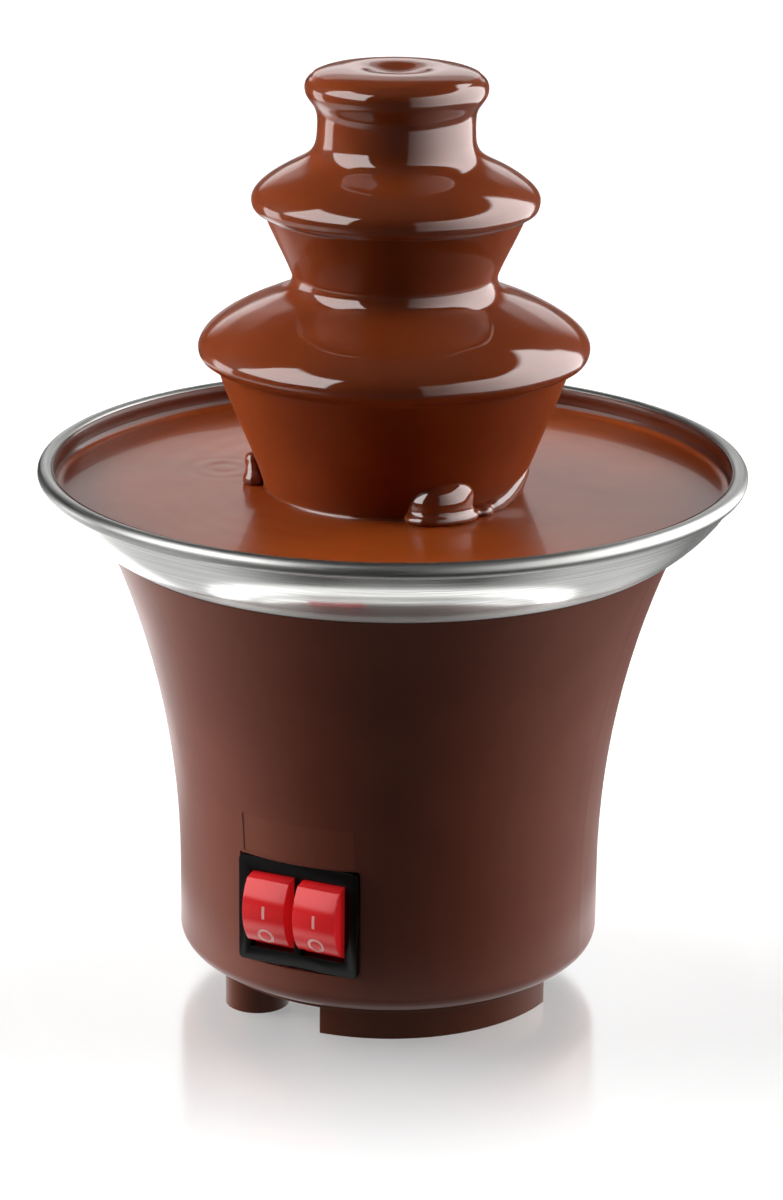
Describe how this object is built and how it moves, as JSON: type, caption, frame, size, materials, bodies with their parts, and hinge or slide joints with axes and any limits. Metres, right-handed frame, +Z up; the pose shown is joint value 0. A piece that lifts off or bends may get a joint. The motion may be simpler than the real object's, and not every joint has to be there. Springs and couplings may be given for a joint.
{
  "type": "chocolate fountain",
  "caption": "Tabletop chocolate fountain: flared base with twin rocker switch, heated steel bowl, and a lift-off tiered tower with a motor-driven auger, shown running with chocolate.",
  "frame": {"origin": "centre of the footprint, on the surface the feet stand on", "axes": "+Z up along the auger and tower, -Y towards the side with the switch, +X to the right of that side"},
  "size_m": [0.17, 0.17, 0.2269],
  "materials": {
    "housing_plastic": "satin",
    "cover_plastic": "satin",
    "polished_steel": "polished",
    "plated_steel": "zinc plated",
    "heat_aluminium": "machined",
    "cast_metal": "die cast",
    "mica": "matte",
    "brass": "plain",
    "black_plastic": "satin",
    "red_plastic": "glossy",
    "white_plastic": "satin",
    "food_plastic": "smooth",
    "silicone": "matte",
    "rubber": "matte",
    "wire_brown": "satin",
    "wire_black": "satin",
    "wire_blue": "satin",
    "wire_red": "satin",
    "chocolate": "wet"
  },
  "bodies": {
    "base": {"base_housing": "housing_plastic", "bottom_cover": "cover_plastic", "bowl": "polished_steel", "tower_pegs": "polished_steel", "cover_screws": "plated_steel", "bowl_studs": "plated_steel", "heater_clamp": "plated_steel", "stud_sleeves": "plated_steel", "stud_nuts": "plated_steel", "deck_plate": "plated_steel", "deck_screws": "plated_steel", "motor_can": "plated_steel", "motor_screws": "plated_steel", "motor_nuts": "plated_steel", "heater_plate": "heat_aluminium", "gearbox": "cast_metal", "heater_ring": "mica", "heater_tabs": "brass", "motor_tabs": "brass", "switch_blades": "brass", "shaft_bush": "brass", "bush_nut": "brass", "switch_frame": "black_plastic", "switch_back": "black_plastic", "thermostat": "black_plastic", "motor_cap": "black_plastic", "terminal_block": "white_plastic", "thermal_fuse": "white_plastic", "shaft_seal": "silicone", "cord_grommet": "rubber", "feed_wire": "wire_brown", "motor_wire": "wire_black", "motor_return_wire": "wire_blue", "heat_return_wire": "wire_blue", "heat_wire": "wire_red", "fuse_wire": "wire_red", "element_wire": "wire_red", "chocolate_pool": "chocolate"},
    "drive": {"drive_shaft": "plated_steel", "auger": "food_plastic"},
    "tower": {"tower_tube": "food_plastic", "lower_skirt": "food_plastic", "upper_skirt": "food_plastic", "crown_cup": "food_plastic", "chocolate_lower_fall": "chocolate", "chocolate_upper_fall": "chocolate", "chocolate_crown": "chocolate"},
    "rocker_motor": {"rocker_motor": "red_plastic"},
    "rocker_heat": {"rocker_heat": "red_plastic"}
  },
  "joints": [
    {"name": "rocker_motor_tilt", "type": "hinge", "parent": "base", "child": "rocker_motor", "pos_m": [-0.0066, -0.04882, 0.0326], "axis": [-1, 0, 0], "range_deg": [0, 16]},
    {"name": "rocker_heat_tilt", "type": "hinge", "parent": "base", "child": "rocker_heat", "pos_m": [0.0066, -0.04882, 0.0326], "axis": [-1, 0, 0], "range_deg": [0, 16]},
    {"name": "drive_spin", "type": "hinge", "parent": "base", "child": "drive", "pos_m": [0, 0, 0.1], "axis": [0, 0, 1], "continuous": true},
    {"name": "tower_lift", "type": "slide", "parent": "base", "child": "tower", "axis": [0, 0, 1], "range_m": [0, 0.115]}
  ]
}
